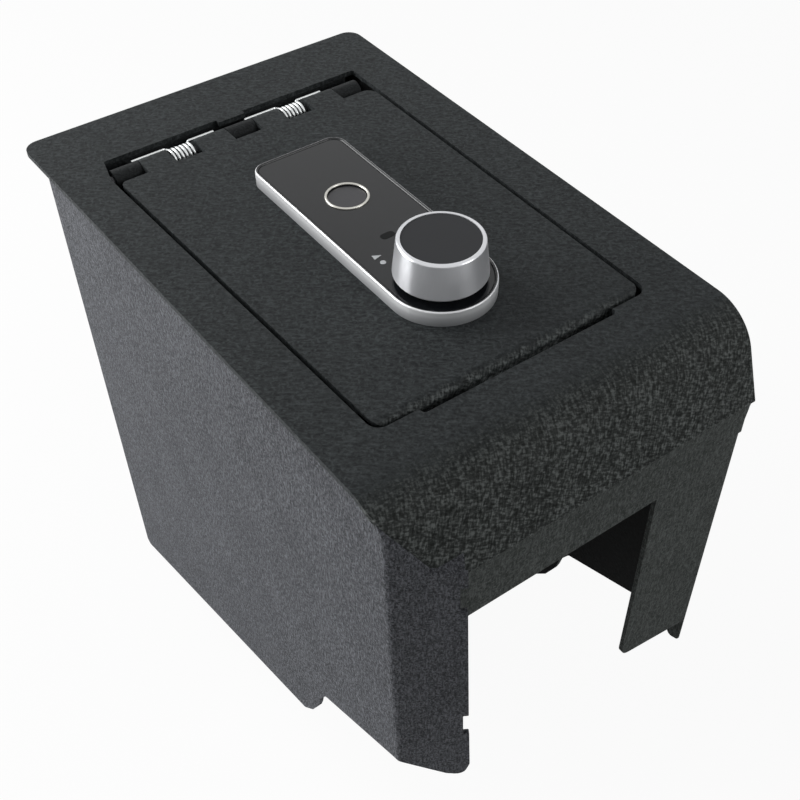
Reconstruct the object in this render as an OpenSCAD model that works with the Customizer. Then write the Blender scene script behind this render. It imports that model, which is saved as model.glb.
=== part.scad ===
// Vehicle console safe: a folded sheet body with a stepped bottom, a hinged
// top lid with two coil springs and a fingerprint lock whose knob draws one
// wide bolt by a rack and pinion. Millimetres. In the working frame Z = 0 is
// the top of the plate, Y = 0 is the datum line across its front and Y grows
// to the rear. The finished model stands with its lowest corner at Z = 0.

/* [Sheet body] */
// Thickness of every sheet of the body and lid
sheet = 2.5; // [2:0.1:3]
// Width of the top plate at its front edge
plate_w = 189.2; // [180:0.2:220]
// Rear edge of the plate behind the datum line
plate_rear = 273.4; // [268:0.2:290]
// How much farther left the plate's rear end reaches than its front end
left_flare = 4.8; // [0:0.2:6]
// Radius of the two rear corners of the plate
plate_corner_r = 7.5; // [3:0.5:12]
// Outer radius of the rolled front edge
roll_r = 25; // [20:0.5:27]
// Slope of the front lip below the horizontal, degrees
lip_angle = 69; // [64:0.5:74]
// Where the flat and the lip would meet, in front of the datum line
roll_corner = 21.03; // [18:0.1:24]
// Depth of the lip's lower edge under the plate
lip_drop = 40.7; // [36:0.1:44]

/* [Walls] */
// Overhang of the plate past the left wall
left_overhang = 1.1; // [0.8:0.1:3]
// Inner face of the right wall beside the opening's right edge
right_clear = 1.4; // [1:0.1:4]
// Outer face of the rear wall behind the datum line
rear_wall_y = 262.6; // [256:0.2:266]
// Depth of the rear bottom corner under the plate
tail_depth = 300; // [280:1:320]
// Fold between the left wall and its leg, in front of the datum line
fold_y = 23.3; // [21:0.1:26]
// Turn of the left leg out of the front plane, degrees
leg_turn = 32; // [28:0.5:36]
// Outer radius of the sheet bends
bend_r = 3.5; // [3.1:0.1:4.5]
// Depth of the left wall's front bottom edge at the fold
left_front_depth = 166; // [160:0.2:172]
// Depth where the left wall's bottom step starts
left_step_depth = 194.2; // [188:0.2:198]
// Place of the left step behind the datum line
left_step_y = 33.9; // [30:0.1:38]
// Depth of the right wall's front bottom edge
right_front_depth = 182.4; // [176:0.2:188]
// Depth where the right wall's bottom step starts
right_step_depth = 208; // [200:0.2:212]
// Place of the right step behind the datum line
right_step_y = 37; // [33:0.1:40]
// Length of the bottom step of both walls
step_run = 25; // [22:0.5:28]
// Height of the bottom step of both walls
step_drop = 44; // [38:0.5:48]

/* [Left leg] */
// Lean of the fold and the leg, forward on the way down, degrees
leg_lean = 2.2; // [1:0.1:3]
// Reach of the left leg along its own plane, from the fold
leg_reach = 32.6; // [32:0.1:35]
// Reach of the left leg beside the front panel
leg_top_reach = 31.1; // [30:0.1:32]
// Depth of the left leg's lowest corner
leg_depth = 181.8; // [178:0.2:186]
// Depth of the two notches in the leg's inner edge
notch_in = 2.5; // [2:0.1:3]
// Height of the upper notch
upper_notch_h = 15.4; // [10:0.2:18]
// Height of the lower notch
lower_notch_h = 14.6; // [10:0.2:16]
// Top of the upper notch under the plate
upper_notch_z = 42.3; // [42:0.1:46]
// Top of the lower notch under the plate
lower_notch_z = 132; // [120:0.5:136]
// Corner radius at the foot of both legs
foot_r = 5.5; // [3:0.5:7]

/* [Front panel] */
// Front face of the panel in front of the datum line
panel_y = 34.7; // [34:0.1:35.4]
// Depth of the cross panel's lower edge
cross_depth = 72.8; // [68:0.2:78]
// Inner edge of the right leg from the middle
right_leg_in = 44.1; // [40:0.1:48]
// Step of the panel's right edge in from the plate's edge
right_leg_step = 1.2; // [2:0.1:4]
// Depth of the right leg's lower edge at its inner corner
right_leg_depth = 197.3; // [194:0.1:204]
// Fall of that edge to the outer side
right_leg_fall = 7.7; // [4:0.1:9]
// Depth of the side return of the right leg, front to rear
return_w = 8.5; // [7:0.1:12]
// Depth of the foot of the side return
return_depth = 227; // [222:0.5:234]

/* [Floor] */
// Depth of the shelf under the plate
shelf_depth = 70; // [64:0.5:76]
// Front face of the deep compartment behind the datum line
deep_front_y = 56.5; // [54:0.5:58]
// Height of the floor over the left wall's bottom edge
floor_lift = 2; // [1:0.1:4]
// Radius of the mounting holes
mount_hole_r = 3.3; // [2.6:0.1:4.2]
// Spacing of the shelf's mounting holes across the body
shelf_hole_x = 100; // [80:1:120]
// Spacing of the shelf's mounting holes front to rear
shelf_hole_y = 40; // [30:1:50]
// Spacing of the rear wall's mounting holes across the body
rear_hole_x = 100; // [80:1:120]
// Spacing of the rear wall's mounting holes up and down
rear_hole_z = 90; // [70:1:110]
// Depth of the middle of the rear hole pattern
rear_hole_depth = 160; // [140:1:180]

/* [Opening and lid] */
// Width of the opening in the plate at its front edge
opening_w = 141.2; // [138:0.2:142.4]
// How much farther left the opening's left edge lies at the hinge axis
left_run = 6.4; // [5:0.1:6.6]
// Front edge of the opening behind the datum line
opening_front = 13.6; // [12:0.1:16]
// Half width of the finger recess in the front edge
recess_half = 50; // [40:1:56]
// Depth of the finger recess
recess_in = 3; // [2:0.1:4]
// Radius of the front corners of the opening and lid
opening_corner_r = 6; // [4:0.5:8]
// Gap round the lid
lid_gap = 2.2; // [1.5:0.1:2.8]
// Rear edge of the lid's skin behind the datum line
lid_rear = 217; // [214:0.2:219]
// Depth of the lid's folded edges
lid_flange = 12; // [9:0.2:12.5]
// Outer radius of the lid's rolled front edge
lid_roll_r = 4; // [3:0.1:6]
// Height of the rubber stops under the lid's edges
stop_h = 2; // [1.5:0.1:3]
// Radius of the rubber stops
stop_r = 3.4; // [2.5:0.1:4]
// Distance of the ledges' ends from the ends of the opening and lid
ledge_end = 12; // [8:1:20]
// Reach of the ledges' upper flanges under the lid's edges
ledge_reach = 12; // [10:0.5:14]
// Width of the left ledge's foot under the plate
ledge_out = 10; // [8:0.5:12]
// Depth of the right ledge's foot on the right wall
ledge_foot = 26; // [18:1:40]

/* [Hinge] */
// Hinge axis behind the datum line
hinge_y = 227.5; // [226:0.1:228.5]
// Outer radius of the knuckles
barrel_r = 5.5; // [5:0.1:6]
// Radius of the hinge pin
pin_r = 2.5; // [2:0.1:3]
// Running clearance round the pin, spindle and screws
fit = 0.05; // [0.03:0.01:0.08]
// Middle of the hinge from the middle of the plate's front edge
hinge_mid = -4; // [-4.2:0.1:-3.8]
// Half width over the end knuckles
hinge_half = 69.8; // [69:0.1:69.9]
// Length of the two end knuckles
end_knuckle = 14.2; // [13:0.1:14.6]
// Length of the middle knuckle
mid_knuckle = 15; // [14:0.1:16]
// Length of the lid knuckle left of each spring
lid_knuckle_a = 14.9; // [13:0.1:15.1]
// Length of the lid knuckle right of each spring
lid_knuckle_b = 17.1; // [15:0.1:17.3]
// End gap between neighbouring knuckles
knuckle_gap = 0.4; // [0.3:0.05:0.6]
// Rear edge of the opening behind the hinge axis
rail_set = 10; // [9.6:0.1:11]
// Width of the hinge rail's foot under the plate
rail_foot = 18; // [12:1:24]

/* [Springs] */
// Wire diameter of the lid springs
wire_d = 1.5; // [1.2:0.1:1.6]
// Mean radius of the coils
coil_r = 4.7; // [4.4:0.05:4.8]
// Length of each coil between the wire's centres
coil_len = 12; // [11:0.1:12.6]
// Whole turns of each coil
coil_turns = 5; // [4:1:6]
// Far end of the left arm from the middle of the coil
arm_left = 24.1; // [23.6:0.1:24.6]
// Far end of the right arm from the middle of the coil
arm_right = 21.1; // [20:0.1:22]
// Rear set of both arms from the hinge axis
arm_set = 6.7; // [6.6:0.05:7]
// Rise of both arms over the hinge axis
arm_rise = 2.4; // [2:0.1:3]
// Bend radius of the arms
arm_bend = 1.6; // [1.4:0.1:2]

/* [Lock housing] */
// Half width of the lock rim
rim_half = 24.5; // [23.5:0.1:26]
// Rear edge of the lock rim behind the datum line
rim_rear = 182; // [176:0.2:186]
// Radius of the rear corners of the rim
rim_corner_r = 7; // [5:0.2:9]
// Height of the rim over the lid
rim_h = 7.4; // [6.6:0.1:8]
// Wall of the rim
rim_wall = 1.6; // [1.2:0.1:2]
// Height of the bed that carries the black face
bed_h = 5.2; // [4.6:0.1:5.4]
// Thickness of the black face
face_t = 1.6; // [1.2:0.1:1.8]
// Gap between the face and the rim
face_gap = 0.25; // [0.1:0.05:0.4]
// Middle of the fingerprint sensor behind the datum line
sensor_y = 137; // [132:0.5:142]
// Radius of the sensor's bright ring at its middle
ring_r = 9.7; // [9.2:0.1:10.4]
// Width of the ring
ring_w = 1.2; // [0.8:0.1:1.4]
// Height of the ring over the face
ring_h = 0.8; // [0.5:0.1:1.2]
// Middle of the status window behind the datum line
window_y = 102.7; // [100:0.1:105]
// Side set of the status window from the middle
window_x = 1.8; // [0:0.1:4]

/* [Knob] */
// Knob axis behind the datum line
knob_y = 66.5; // [64:0.1:70]
// Radius of the knob's rim at the top
knob_top_r = 18.9; // [17.5:0.1:20]
// Radius of the knob at its foot
knob_foot_r = 20.6; // [20:0.1:21.5]
// Height of the knob's top over the lid
knob_top = 26.4; // [24:0.1:30]
// Height of the knob's foot over the lid
knob_foot = 9.4; // [8.6:0.1:10]
// Radius of the black disc on top
cap_r = 16.9; // [15:0.1:17.2]
// Spindle radius
spindle_r = 4; // [3.5:0.1:4.5]
// Quarter turn of the knob, degrees
knob_turn = 90; // [80:5:90]

/* [Latch] */
// Gear module of the rack and pinion
gear_m = 1; // [1:0.05:1.1]
// Teeth of the pinion
gear_teeth = 16; // [16:1:17]
// Thinning of each tooth for backlash
backlash = 0.14; // [0.1:0.02:0.2]
// Thickness of the bolt
bolt_t = 6; // [5:0.1:7]
// Depth of the bolt's upper face under the plate's top
bolt_top = 14; // [13.6:0.1:15]
// Half width of the bolt
bolt_half = 20; // [18:0.5:21]
// Front edge of the thrown bolt behind the datum line
bolt_front = 2; // [1:0.1:3]
// Running clearance of the bolt in its slots
bolt_gap = 0.15; // [0.1:0.05:0.25]
// Front face of the strike plate behind the datum line
strike_y = 8; // [6.5:0.1:8]
// Depth of the strike plate under the plate's top
strike_depth = 28; // [26:0.5:34]

/* [Lock case] */
// Half width of the lock case
case_half = 30; // [29:0.5:34]
// Front face of the case behind the datum line
case_front = 40; // [38:0.1:41]
// Rear face of the case behind the datum line
case_rear = 178; // [176:0.5:184]
// Wall of the case
case_wall = 2; // [1.6:0.1:2.4]
// Depth of the case under the lid's skin
case_depth = 30; // [28:0.5:34]
// Screw shank radius
screw_r = 2; // [1.5:0.1:2.4]
// Screw head radius
screw_head_r = 3.6; // [3.2:0.1:4]
// Side set of the screws from the middle
screw_x = 18.5; // [17.5:0.1:19]
// Front pair of screws behind the datum line
screw_front_y = 99; // [98:0.1:101]
// Rear pair of screws behind the datum line
screw_rear_y = 170; // [168:0.1:171]
// Radius of one battery cell
cell_r = 5.2; // [4.8:0.05:5.3]
// Length of one battery cell
cell_l = 44.5; // [40:0.1:45]

/* [Hidden] */
$fn = 64;
half_w = plate_w / 2;
left_x = -(half_w - left_overhang);
right_in = opening_w / 2 + right_clear;
right_x = right_in + sheet;
left_in = left_x + sheet;
roll_y = -roll_corner + roll_r * tan(lip_angle / 2);
panel_in = -panel_y + sheet;
panel_top = lip_depth(-sheet, -panel_y);
panel_back = lip_depth(-2 * sheet, panel_in);
panel_low = min(panel_top, panel_back) - 1;
fold = [left_x, -fold_y];
leg_dir = [cos(leg_turn), -sin(leg_turn)];
leg_in = [sin(leg_turn), cos(leg_turn)];
bend_turn = 90 - leg_turn;
setback = bend_r * tan(bend_turn / 2);
fold_in = (1 - sin(leg_turn)) / cos(leg_turn) * sheet - fold_y;
leg_outline = rounded([[-setback, 1, 0], [-setback, -left_front_depth, 0],
  [1.2, -left_front_depth - 0.5, 2], [leg_reach - 11, -leg_depth + 2.2, 3],
  [leg_reach - 3, -leg_depth, foot_r - 1], [leg_reach, -leg_depth + 9, foot_r],
  [leg_reach - 0.4, -lower_notch_z - lower_notch_h, 0.5],
  [leg_reach - 0.6 - notch_in, -lower_notch_z - lower_notch_h, 0.5],
  [leg_reach - 0.7 - notch_in, -lower_notch_z, 0.5], [leg_reach - 0.7, -lower_notch_z, 0.5],
  [leg_top_reach, -upper_notch_z - upper_notch_h, 0.5],
  [leg_top_reach - notch_in - 0.6, -upper_notch_z - upper_notch_h, 0.5],
  [leg_top_reach - notch_in - 0.6, -upper_notch_z, 0.5],
  [leg_top_reach, -upper_notch_z, 0.5], [leg_top_reach, 1, 0]], 4);
front_y = -fold_y - max([for (p = leg_outline) p[0] * sin(leg_turn) * cos(leg_lean)
  - p[1] * sin(leg_lean)]);
mid_y = (plate_rear + front_y) / 2;
plate_trim = 1.1;
trim_at = fold + leg_in * plate_trim;
trim_y = trim_at[1] + (trim_at[0] + half_w) * tan(leg_turn);
left_turn = atan(left_flare / (plate_rear - trim_y));
left_reach = half_w + left_flare
  - plate_corner_r * ((1 + sin(left_turn)) / cos(left_turn) - 1);
mid_x = (half_w - left_reach) / 2;
rear_in = rear_wall_y - sheet;
step_curve = [[0.25, 0.23], [0.33, 0.41], [0.40, 0.52], [0.64, 0.78]];
left_rise = (tail_depth - left_step_depth - step_drop)
  / (rear_wall_y - left_step_y - step_run);
body_mid = (left_in + right_in) / 2;
lid_half = opening_w / 2 - lid_gap;
lid_front = opening_front + lid_gap;
hinge_z = -barrel_r;
bore_r = pin_r + fit;
arm_y = hinge_y + arm_set;
arm_z = hinge_z + arm_rise;
rail_y = hinge_y + rail_set;
left_slope = left_run / (hinge_y - opening_front);
hinge_left = hinge_mid - hinge_half;
hinge_right = hinge_mid + hinge_half;
body_knuckles = [[hinge_left, end_knuckle], [hinge_mid - mid_knuckle / 2,
  mid_knuckle], [hinge_right - end_knuckle, end_knuckle]];
ledge_z = -(lid_flange + stop_h);
pitch_r = gear_m * gear_teeth / 2;
travel = pitch_r * knob_turn * PI / 180;
gear_out = pitch_r + gear_m;
gear_root = pitch_r - 1.3 * gear_m;
base_r = pitch_r * cos(20);
tip_t = sqrt(pow(gear_out / base_r, 2) - 1);
tooth_half = 90 / gear_teeth - (backlash / 4) / pitch_r * 180 / PI
  + (tan(20) - 20 * PI / 180) * 180 / PI;
bolt_low = -bolt_top - bolt_t;
case_top = -sheet;
case_low = -sheet - case_depth;
cover_low = case_low - case_wall;
face_top = bed_h + face_t;
spindle_low = bolt_low - 4;
screw_pts = [for (x = [-screw_x, screw_x], y = [screw_front_y, screw_rear_y]) [x, y]];
cell_z = case_low + cell_r + 1.3;
cell_y = (screw_front_y + screw_rear_y) / 2;
tray_half = 4 * cell_r + 3.4;
tray_len = cell_l + 0.4;

// A unit vector
function unit(v) = v / norm(v);
// Points of one rounded corner b between a and c: its radius is the third value
// and its number of steps the fourth
function corner(a, b, c, n) = b[2] <= 0 ? [[b[0], b[1]]] :
  let (p = [b[0], b[1]],
    u = unit([a[0], a[1]] - p),
    v = unit([c[0], c[1]] - p),
    h = acos(u * v) / 2,
    o = p + unit(u + v) * b[2] / sin(h),
    s = p + u * b[2] / tan(h) - o,
    e = p + v * b[2] / tan(h) - o,
    a0 = atan2(s[1], s[0]),
    d = (atan2(e[1], e[0]) - a0 + 900) % 360 - 180)
  [for (k = [0:n]) o + b[2] * [cos(a0 + d * k / n), sin(a0 + d * k / n)]];
// Outline through points [x, y, radius]
function rounded(p, n = 8) = [for (i = [0:len(p) - 1])
  each corner(p[(i + len(p) - 1) % len(p)], p[i], p[(i + 1) % len(p)],
    len(p[i]) > 3 ? p[i][3] : n)];
// Bottom step of a side wall from its front end
function step_points(y, depth) = [for (c = step_curve)
  [y + c[0] * step_run, -depth - c[1] * step_drop, 2]];
// Left edge of the opening at y
function left_edge(y) = -opening_w / 2 - left_slope * (y - opening_front);
// Height of a line parallel to the lip where it passes y
function lip_depth(off, y) = off * cos(lip_angle)
  - (-roll_corner - off * sin(lip_angle) - y) * tan(lip_angle);
// A point on that line, so far above the height of the panel's own top
function panel_point(off, up) = [-roll_corner - off * sin(lip_angle) + 0.02
  - (off * cos(lip_angle) - panel_top - up) / tan(lip_angle), panel_top + up];
// Underside of the deep floor at y
function floor_z(y) = -left_step_depth - step_drop + floor_lift
  - left_rise * (y - left_step_y - step_run);

// The working frame set down with its lowest corner at the origin's height
module place() translate([-mid_x, -mid_y, tail_depth]) children();
// A sheet across X whose outline is drawn in Y and Z, from x0 to x1
module across(x0, x1) translate([x0, 0, 0]) rotate([90, 0, 90])
  linear_extrude(x1 - x0) children();
// A sheet facing the front whose outline is drawn in X and Z, from y0 to y1
module upright(y0, y1) translate([0, y1, 0]) rotate([90, 0, 0])
  linear_extrude(y1 - y0) children();
// A flat sheet whose outline is drawn in X and Y, from z0 to z1
module flat(z0, z1) translate([0, 0, z0]) linear_extrude(z1 - z0) children();
// A box between two corners
module block(a, b) translate(a) cube(b - a);
// A rod along X about a point in Y and Z
module rod_x(x0, x1, y, z, r) translate([x0, y, z]) rotate([0, 90, 0])
  cylinder(r = r, h = x1 - x0);
// The rolled front edge in section, between two offsets from its outer face
function lip_point(off, more) = [-roll_corner, 0]
  - (lip_drop / sin(lip_angle) + more) * [cos(lip_angle), sin(lip_angle)]
  + off * [-sin(lip_angle), cos(lip_angle)];
function roll_bend(off) = [-roll_corner - off * tan(lip_angle / 2), off,
  roll_r + off, 24];
module roll_band(rear, out, low, more = 0, end_r = 0) polygon(rounded([
  [rear, out, 0], roll_bend(out), [each lip_point(out, more), end_r],
  [each lip_point(low, more), end_r], roll_bend(low), [rear, low, 0]]));
// The fold of the left wall and its leg lean forward on the way down
module lean() translate([0, -fold_y, 0]) rotate([-leg_lean, 0, 0])
  translate([0, fold_y, 0]) children();
// What the plate keeps in plan: the left front corner follows the left leg
module plate_plan(more = 0) {
  inset = plate_trim - more;
  line = fold + leg_in * inset;
  xa = -half_w;
  ya = line[1] + (line[0] - xa) * tan(leg_turn);
  xb = half_w;
  yb = line[1] - (xb - line[0]) * tan(leg_turn);
  polygon(rounded([[xa, ya, 15], [xb, yb, 0], [half_w, plate_rear, plate_corner_r],
    [-half_w - left_flare, plate_rear, plate_corner_r]]));
}
// Keeps what lies behind the left leg's inner face, down to a depth
module inside_leg(depth) intersection() {
  children();
  lean() flat(-depth, 1) polygon(rounded([[left_in, fold_in, bend_r - sheet + 0.3],
    [left_in + 3 * leg_reach, fold_in - 3 * leg_reach * tan(leg_turn), 0],
    [half_w + 1, fold_in - 3 * leg_reach * tan(leg_turn), 0],
    [half_w + 1, plate_rear + 20, 0], [left_in, plate_rear + 20, 0]]));
}
// The opening in plan, with its finger recess
module opening_plan() {
  h = opening_w / 2;
  y = hinge_y - barrel_r - 0.5;
  polygon(rounded([[-h, opening_front, opening_corner_r], [h, opening_front,
    opening_corner_r], [h, rail_y, 1.5], [-h - 2.4, rail_y, 1.5],
    [left_edge(y), y, 1.5]]));
  polygon(rounded([[-recess_half, opening_front - recess_in, 2], [recess_half,
    opening_front - recess_in, 2], [recess_half, opening_front + 5, 0],
    [-recess_half, opening_front + 5, 0]]));
}

module top_plate() place() color("#3c3e40") difference() {
  intersection() {
    across(-half_w - left_flare, half_w) roll_band(plate_rear, 0, -sheet, 0,
      sheet / 2 - 0.25);
    flat(-lip_drop - sheet, 1) plate_plan();
  }
  flat(-sheet - 1, 1) difference() {
    opening_plan();
    translate([hinge_mid - mid_knuckle / 2, rail_y - sheet])
      square([mid_knuckle, sheet + 1]);
  }
}

module front_panel() place() color("#3b3e3b") inside_leg(right_leg_depth + 60) {
  edge = half_w - right_leg_step;
  across(left_x + 4, half_w) polygon([[-panel_y, panel_low], [-panel_y, panel_top],
    panel_point(-sheet, 10), panel_point(-2 * sheet, 10), [panel_in, panel_back],
    [panel_in, panel_low]]);
  upright(-panel_y, panel_in) polygon(rounded([[left_x + 4, panel_low, 0],
    [left_x + 4, -cross_depth, 0], [right_leg_in, -cross_depth, 0],
    [right_leg_in, -right_leg_depth, foot_r + 1],
    [edge - sheet, -right_leg_depth - right_leg_fall, 0],
    [edge - sheet, panel_low - 16, 0], [edge, panel_low - 16, 0],
    [edge, panel_low - 8, 7], [half_w - 0.4, panel_low - 2.5, 1.5],
    [half_w - 0.2, panel_low, 0]]));
  difference() {
    across(edge - sheet, edge) polygon(rounded([[-panel_y, panel_low - 16, 0],
      [panel_in, panel_low - 16, 0], [-panel_y + return_w, panel_low - 22, 1],
      [-panel_y + return_w, -return_depth, 3], [-panel_y, -return_depth + 3.5, 3]]));
    translate([edge - sheet, panel_in, -return_depth - 1]) difference() {
      translate([0, -sheet - 1, 0]) cube([sheet + 1, sheet + 1, return_depth]);
      cylinder(r = sheet, h = return_depth);
    }
  }
}

// The left sheet in plan: the wall, its bend and the leg turned to the front
module left_plan() polygon(rounded([[left_x, rear_wall_y + 20, 0],
  [left_x, -fold_y, bend_r], [each fold + leg_dir * (leg_reach + 1), 0],
  [each fold + leg_dir * (leg_reach + 1) + leg_in * sheet, 0],
  [left_in, fold_in, bend_r - sheet], [left_in, rear_wall_y + 20, 0]]));

// Where the leg's top is ground down beside the lip: a slope from the lip's face
function grind(y) = -31.2 + 0.45 * (y + 33);
// The weld that fills the corner between the leg, the lip and the panel
module corner_weld() intersection() {
  flat(-upper_notch_z, -sheet) polygon([for (q = [[19, 0.3], [leg_top_reach - 0.3, 0.3],
    [leg_top_reach - 0.3, 9]]) fold + leg_dir * q[0] + leg_in * q[1]]);
  across(left_x, 0) polygon([[-panel_y - 15, -upper_notch_z], [-panel_y - 0.02,
    -upper_notch_z], [-panel_y - 0.02, -upper_notch_z + 0.4], lip_point(-sheet / 2, 0.25),
    lip_point(-sheet / 2, -16), [-panel_y - 15, lip_point(-sheet / 2, -16)[1]]]);
}

module left_wall() place() color("#5f5f62") difference() {
  union() {
    intersection() {
      lean() flat(-tail_depth - 20, 20) left_plan();
      union() {
        across(left_x - 1, left_in + 6) polygon(rounded(concat(
          [[-fold_y + setback, -sheet, 0], [-fold_y + setback
          - left_front_depth * tan(leg_lean), -left_front_depth, 0],
          [left_step_y, -left_step_depth, 4]], step_points(left_step_y, left_step_depth),
          [[left_step_y + step_run, -left_step_depth - step_drop, 5],
          [rear_wall_y - 3, -tail_depth, 0],
          [rear_wall_y, -tail_depth + 3, 0], [rear_wall_y, -sheet, 0]])));
        lean() translate([fold[0], fold[1], 0]) rotate([0, 0, -leg_turn])
          upright(-1, 3 * sheet) polygon(leg_outline);
      }
    }
    corner_weld();
  }
  intersection() {
    across(left_x - 5, left_x + 60) roll_band(roll_y + 1, 0.02, -sheet - 0.3, 0.3);
    flat(-lip_drop - 2 * sheet, 1) plate_plan(0.02);
  }
  across(left_x - 5, left_x + 60) {
    intersection() {
      roll_band(roll_y + 1, 40, -sheet / 2, 0);
      polygon([[roll_y + 5, 45], [roll_y + 5, grind(roll_y + 5)], [-80, grind(-80)],
        [-80, 45]]);
    }
  }
}

module right_wall() place() color("#3a3b3d") difference() {
  across(right_in, right_x) polygon(rounded(concat(
    [[panel_in, -sheet, 0], [panel_in, -right_front_depth, 0],
    [right_step_y, -right_step_depth, 4]], step_points(right_step_y, right_step_depth),
    [[right_step_y + step_run, -right_step_depth - step_drop, 5],
    [rear_wall_y - 3, -tail_depth + 0.5, 0], [rear_wall_y, -tail_depth + 3, 0],
    [rear_wall_y, -sheet, 0]])));
  across(right_in - 5, right_x + 5) roll_band(roll_y + 1, 40, -2 * sheet - 0.3, 2);
}

module rear_wall() place() color("#3a3b3d") difference() {
  upright(rear_in, rear_wall_y) translate([left_in, -tail_depth + 3])
    square([right_in - left_in, tail_depth - 3 - sheet]);
  for (x = [-0.5, 0.5], z = [-0.5, 0.5])
    translate([body_mid + x * rear_hole_x, rear_in - 1, -rear_hole_depth + z * rear_hole_z])
      rotate([-90, 0, 0]) cylinder(r = mount_hole_r, h = sheet + 2);
}

module floor_pan() place() color("#36373a") inside_leg(tail_depth) difference() {
  across(left_in, right_in) polygon([[panel_in, -shelf_depth],
    [panel_in, -shelf_depth - sheet], [deep_front_y, -shelf_depth - sheet],
    [deep_front_y, floor_z(deep_front_y)], [rear_in, floor_z(rear_in)],
    [rear_in, floor_z(rear_in) + sheet], [deep_front_y + sheet,
    floor_z(deep_front_y + sheet) + sheet], [deep_front_y + sheet, -shelf_depth]]);
  for (x = [-0.5, 0.5], y = [-0.5, 0.5])
    translate([body_mid + x * shelf_hole_x, (panel_in + deep_front_y) / 2
      + y * shelf_hole_y, -shelf_depth - sheet - 1])
      cylinder(r = mount_hole_r, h = sheet + 2);
}

// Sheet steps under the plate that carry the rubber stops of the lid
module left_ledge() place() color("#36373a")
  translate([left_edge(opening_front) - 2.4, opening_front, 0])
    rotate([0, 0, atan(left_slope)])
      across_y(ledge_end, lid_rear - opening_front - ledge_end) polygon([
        [-ledge_out, -sheet], [0, -sheet], [0, ledge_z], [ledge_reach, ledge_z],
        [ledge_reach, ledge_z - sheet], [-sheet, ledge_z - sheet], [-sheet, -2 * sheet],
        [-ledge_out, -2 * sheet]]);
module right_ledge() place() color("#36373a")
  across_y(opening_front + ledge_end, lid_rear - ledge_end) polygon([
    [right_in, ledge_z - ledge_foot], [right_in, ledge_z], [right_in - ledge_reach,
    ledge_z], [right_in - ledge_reach, ledge_z - sheet], [right_in - sheet,
    ledge_z - sheet], [right_in - sheet, ledge_z - ledge_foot]]);
// A profile drawn in X and Z and run from y0 to y1
module across_y(y0, y1) translate([0, y1, 0]) rotate([90, 0, 0])
  linear_extrude(y1 - y0) children();

module bump_stops() place() color("#1b1b1c")
  for (y = [opening_front + 24, lid_rear - 24], x = [left_edge(y) + lid_gap
    + stop_r, lid_half - stop_r])
    translate([x, y, ledge_z]) cylinder(r = stop_r, h = stop_h);

module strike_plate() place() color("#8d8f92") difference() {
  upright(strike_y, strike_y + sheet) polygon(rounded([[-bolt_half - 6, -sheet, 0],
    [-bolt_half - 6, -strike_depth, 3], [bolt_half + 6, -strike_depth, 3],
    [bolt_half + 6, -sheet, 0]]));
  block([-bolt_half - 0.6, strike_y - 1, bolt_low - 0.6],
    [bolt_half + 0.6, strike_y + sheet + 1, -bolt_top + 0.6]);
}

module hinge_rail() place() color("#232426") difference() {
  union() {
    across(hinge_left, hinge_right) polygon([[rail_y, -sheet],
      [rail_y, hinge_z - 8.5], [rail_y + sheet, hinge_z - 8.5],
      [rail_y + sheet, -2 * sheet], [rail_y + rail_foot, -2 * sheet],
      [rail_y + rail_foot, -sheet]]);
    for (k = body_knuckles) {
      rod_x(k[0], k[0] + k[1], hinge_y, hinge_z, barrel_r);
      block([k[0], hinge_y, hinge_z - barrel_r],
        [k[0] + k[1], rail_y + 1, hinge_z - barrel_r + sheet]);
    }
    // Rests of the springs' left arms
    for (k = [body_knuckles[0], body_knuckles[1]])
      block([k[0] + k[1] - 3, arm_y - wire_d / 2, arm_z - wire_d / 2 - 2.5],
        [k[0] + k[1] - 0.4, rail_y + 1, arm_z - wire_d / 2 - 0.03]);
  }
  rod_x(hinge_left - 1, hinge_right + 1, hinge_y, hinge_z, bore_r);
}

module hinge_pin() place() color("#b9bbbd") union() {
  rod_x(hinge_left - 0.4, hinge_right + 0.4, hinge_y, hinge_z, pin_r);
  for (x = [hinge_left - 1.2, hinge_right + 0.2])
    rod_x(x, x + 1, hinge_y, hinge_z, pin_r + 0.4);
}

// Centre line of a lid spring from the middle of its coil: left arm, coil, right arm
arm_far = norm([arm_set, arm_rise]);
arm_tilt = atan2(arm_rise, arm_set);
arm_touch = acos(coil_r / arm_far);
coil_start = arm_tilt + arm_touch;
coil_deg = 360 * coil_turns - 2 * arm_touch + 360;
coil_steps = 8 * coil_turns + 6;
in_dir = unit([arm_set - coil_r * cos(coil_start), arm_rise - coil_r * sin(coil_start)]);
out_dir = unit([arm_set - coil_r * cos(arm_tilt - arm_touch),
  arm_rise - coil_r * sin(arm_tilt - arm_touch)]);
spring_path = concat(
  [[-arm_left, arm_y, arm_z], [-arm_left + 10, arm_y, arm_z]],
  [for (k = [0:3]) let (q = arm_bend * (1 - cos(30 * k)))
    [-coil_len / 2 - arm_bend + arm_bend * sin(30 * k),
    arm_y - in_dir[0] * q, arm_z - in_dir[1] * q]],
  [for (k = [0:coil_steps]) let (a = coil_start + coil_deg * k / coil_steps)
    [-coil_len / 2 + coil_len * k / coil_steps, hinge_y + coil_r * cos(a),
    hinge_z + coil_r * sin(a)]],
  [for (k = [0:3]) let (q = arm_bend * (1 - sin(30 * k)))
    [coil_len / 2 + arm_bend * (1 - cos(30 * k)),
    arm_y - out_dir[0] * q, arm_z - out_dir[1] * q]],
  [[arm_right - 10, arm_y, arm_z], [arm_right, arm_y, arm_z]]);

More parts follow.
